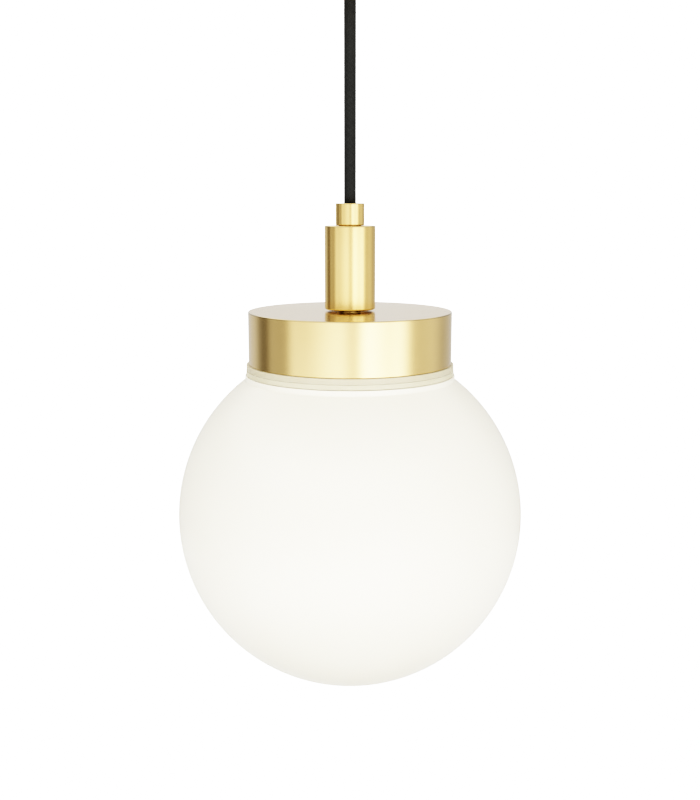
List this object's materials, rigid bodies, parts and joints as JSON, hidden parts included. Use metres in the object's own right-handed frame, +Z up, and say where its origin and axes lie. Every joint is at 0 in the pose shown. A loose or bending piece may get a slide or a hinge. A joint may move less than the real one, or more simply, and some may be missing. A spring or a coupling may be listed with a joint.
{
  "type": "pendant ceiling light",
  "caption": "Globe pendant ceiling light: opal glass ball that screws into a round brass gallery, brass stem and collar, braided cord and brass ceiling rose.",
  "frame": {"origin": "centre of the ceiling rose's face on the ceiling", "axes": "+Z up into the ceiling, +X towards the rose's second side screw, +Y away from the viewer"},
  "size_m": [0.2, 0.2, 0.443],
  "materials": {
    "brass": "satin, fine turned grain",
    "steel": "zinc plated, satin",
    "nickel": "bright",
    "bronze": "satin",
    "braid": "matt woven",
    "opal_glass": "satin",
    "silicone": "satin",
    "translucent_nylon": "satin moulded",
    "nylon": "satin moulded",
    "holder_plastic": "gloss moulded",
    "porcelain": "glazed",
    "lamp_plastic": "satin moulded",
    "lamp_diffuser": "frosted",
    "black_glass": "gloss",
    "brown_pvc": "satin",
    "blue_pvc": "satin",
    "earth_pvc": "satin"
  },
  "bodies": {
    "rose": {"ceiling_plate": "steel", "rose_cup": "brass", "rose_screw_1": "brass", "rose_screw_2": "brass", "cord_grip": "brass", "grip_nut": "steel", "grip_screw": "nylon", "cord_tail": "braid", "terminal_block": "nylon", "block_screw_1": "steel", "block_screw_2": "steel", "block_screw_3": "steel", "rose_core_blue": "blue_pvc", "rose_core_brown": "brown_pvc", "rose_core_earth": "earth_pvc"},
    "upper_cord": {"cord_top": "braid"},
    "pendant": {"cord": "braid", "collar": "brass", "cord_collet": "nylon", "stem": "brass", "stem_bush": "brass", "earth_screw": "steel", "threaded_tube": "steel", "neck_spacer": "brass", "cord_inner": "braid", "gallery": "brass", "thread_insert": "translucent_nylon", "clamp_washer": "steel", "tube_nut": "steel", "holder_cap": "holder_plastic", "holder_grub_screw": "steel", "holder_core": "porcelain", "holder_screw_1": "steel", "holder_screw_2": "steel", "core_brown": "brown_pvc", "core_blue": "blue_pvc", "core_earth": "earth_pvc", "holder_shell": "nickel", "centre_contact": "bronze", "holder_skirt": "holder_plastic"},
    "seal": {"globe_seal": "silicone"},
    "globe": {"globe_glass": "opal_glass"},
    "lamp_foot": {"lamp_tip": "nickel"},
    "lamp": {"lamp_insulator": "black_glass", "lamp_shell": "nickel", "lamp_body": "lamp_plastic", "lamp_bulb": "lamp_diffuser"}
  },
  "joints": [
    {"name": "swing_x", "type": "hinge", "parent": "rose", "child": "upper_cord", "pos_m": [0, 0, -0.044], "axis": [1, 0, 0], "range_deg": [-25, 25]},
    {"name": "swing_y", "type": "hinge", "parent": "upper_cord", "child": "pendant", "pos_m": [0, 0, -0.06], "axis": [0, 1, 0], "range_deg": [-25, 25]},
    {"name": "globe_turn", "type": "hinge", "parent": "seal", "child": "globe", "pos_m": [0, 0, -0.343], "axis": [0, 0, -1], "range_deg": [0, 900]},
    {"name": "globe_drop", "type": "slide", "parent": "pendant", "child": "seal", "axis": [0, 0, -1], "range_m": [0, 0.02]},
    {"name": "lamp_turn", "type": "hinge", "parent": "lamp_foot", "child": "lamp", "pos_m": [0, 0, -0.277], "axis": [0, 0, -1], "range_deg": [0, 1440]},
    {"name": "lamp_drop", "type": "slide", "parent": "pendant", "child": "lamp_foot", "axis": [0, 0, -1], "range_m": [0, 0.01452]}
  ],
  "couplings": [
    {"joint": "globe_drop", "follows": "globe_turn", "m_per_rad": 0.0012732},
    {"joint": "lamp_drop", "follows": "lamp_turn", "m_per_rad": 0.00057757}
  ]
}
